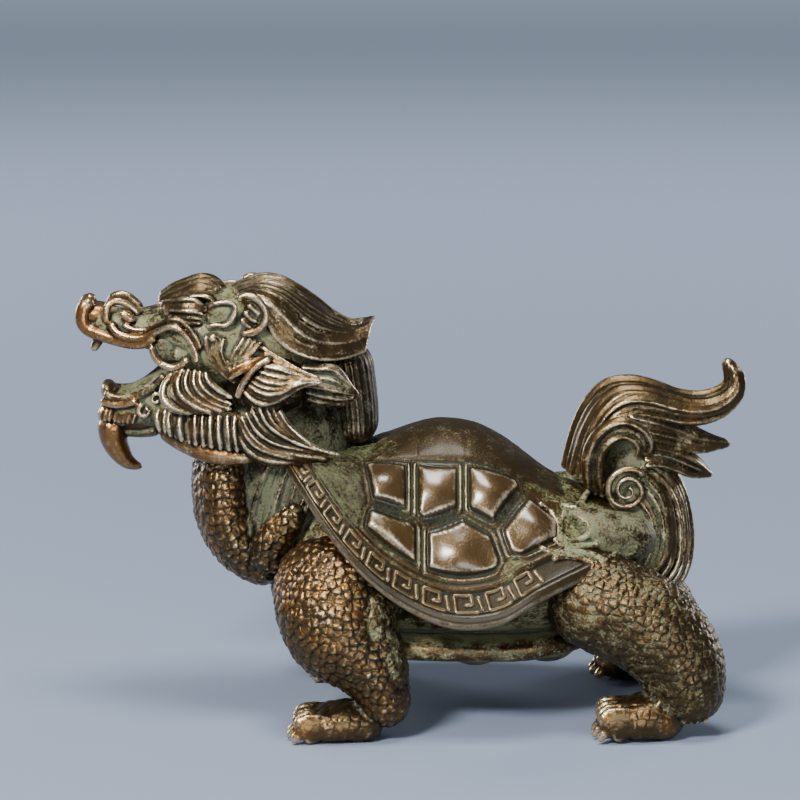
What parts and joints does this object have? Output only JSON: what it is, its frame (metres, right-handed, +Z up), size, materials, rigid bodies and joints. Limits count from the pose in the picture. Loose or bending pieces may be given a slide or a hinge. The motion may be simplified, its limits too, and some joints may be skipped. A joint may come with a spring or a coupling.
{
  "type": "dragon turtle figure",
  "caption": "Small cast bronze figure of a standing turtle with an open-mouthed dragon's head and mane, scaled legs, a scute-patterned shell and a curling flame tail.",
  "frame": {"origin": "on the ground under the middle of the figure's bounding box", "axes": "+Z up, +X from the head to the tail, +Y to the figure's right flank"},
  "size_m": [0.1064, 0.0488, 0.072],
  "materials": {
    "dragon_turtle": "brown patinated bronze, worn warm on the high points, with grey-green verdigris in the hollows"
  },
  "bodies": {
    "root": {"dragon_turtle": "dragon_turtle"}
  },
  "joints": []
}
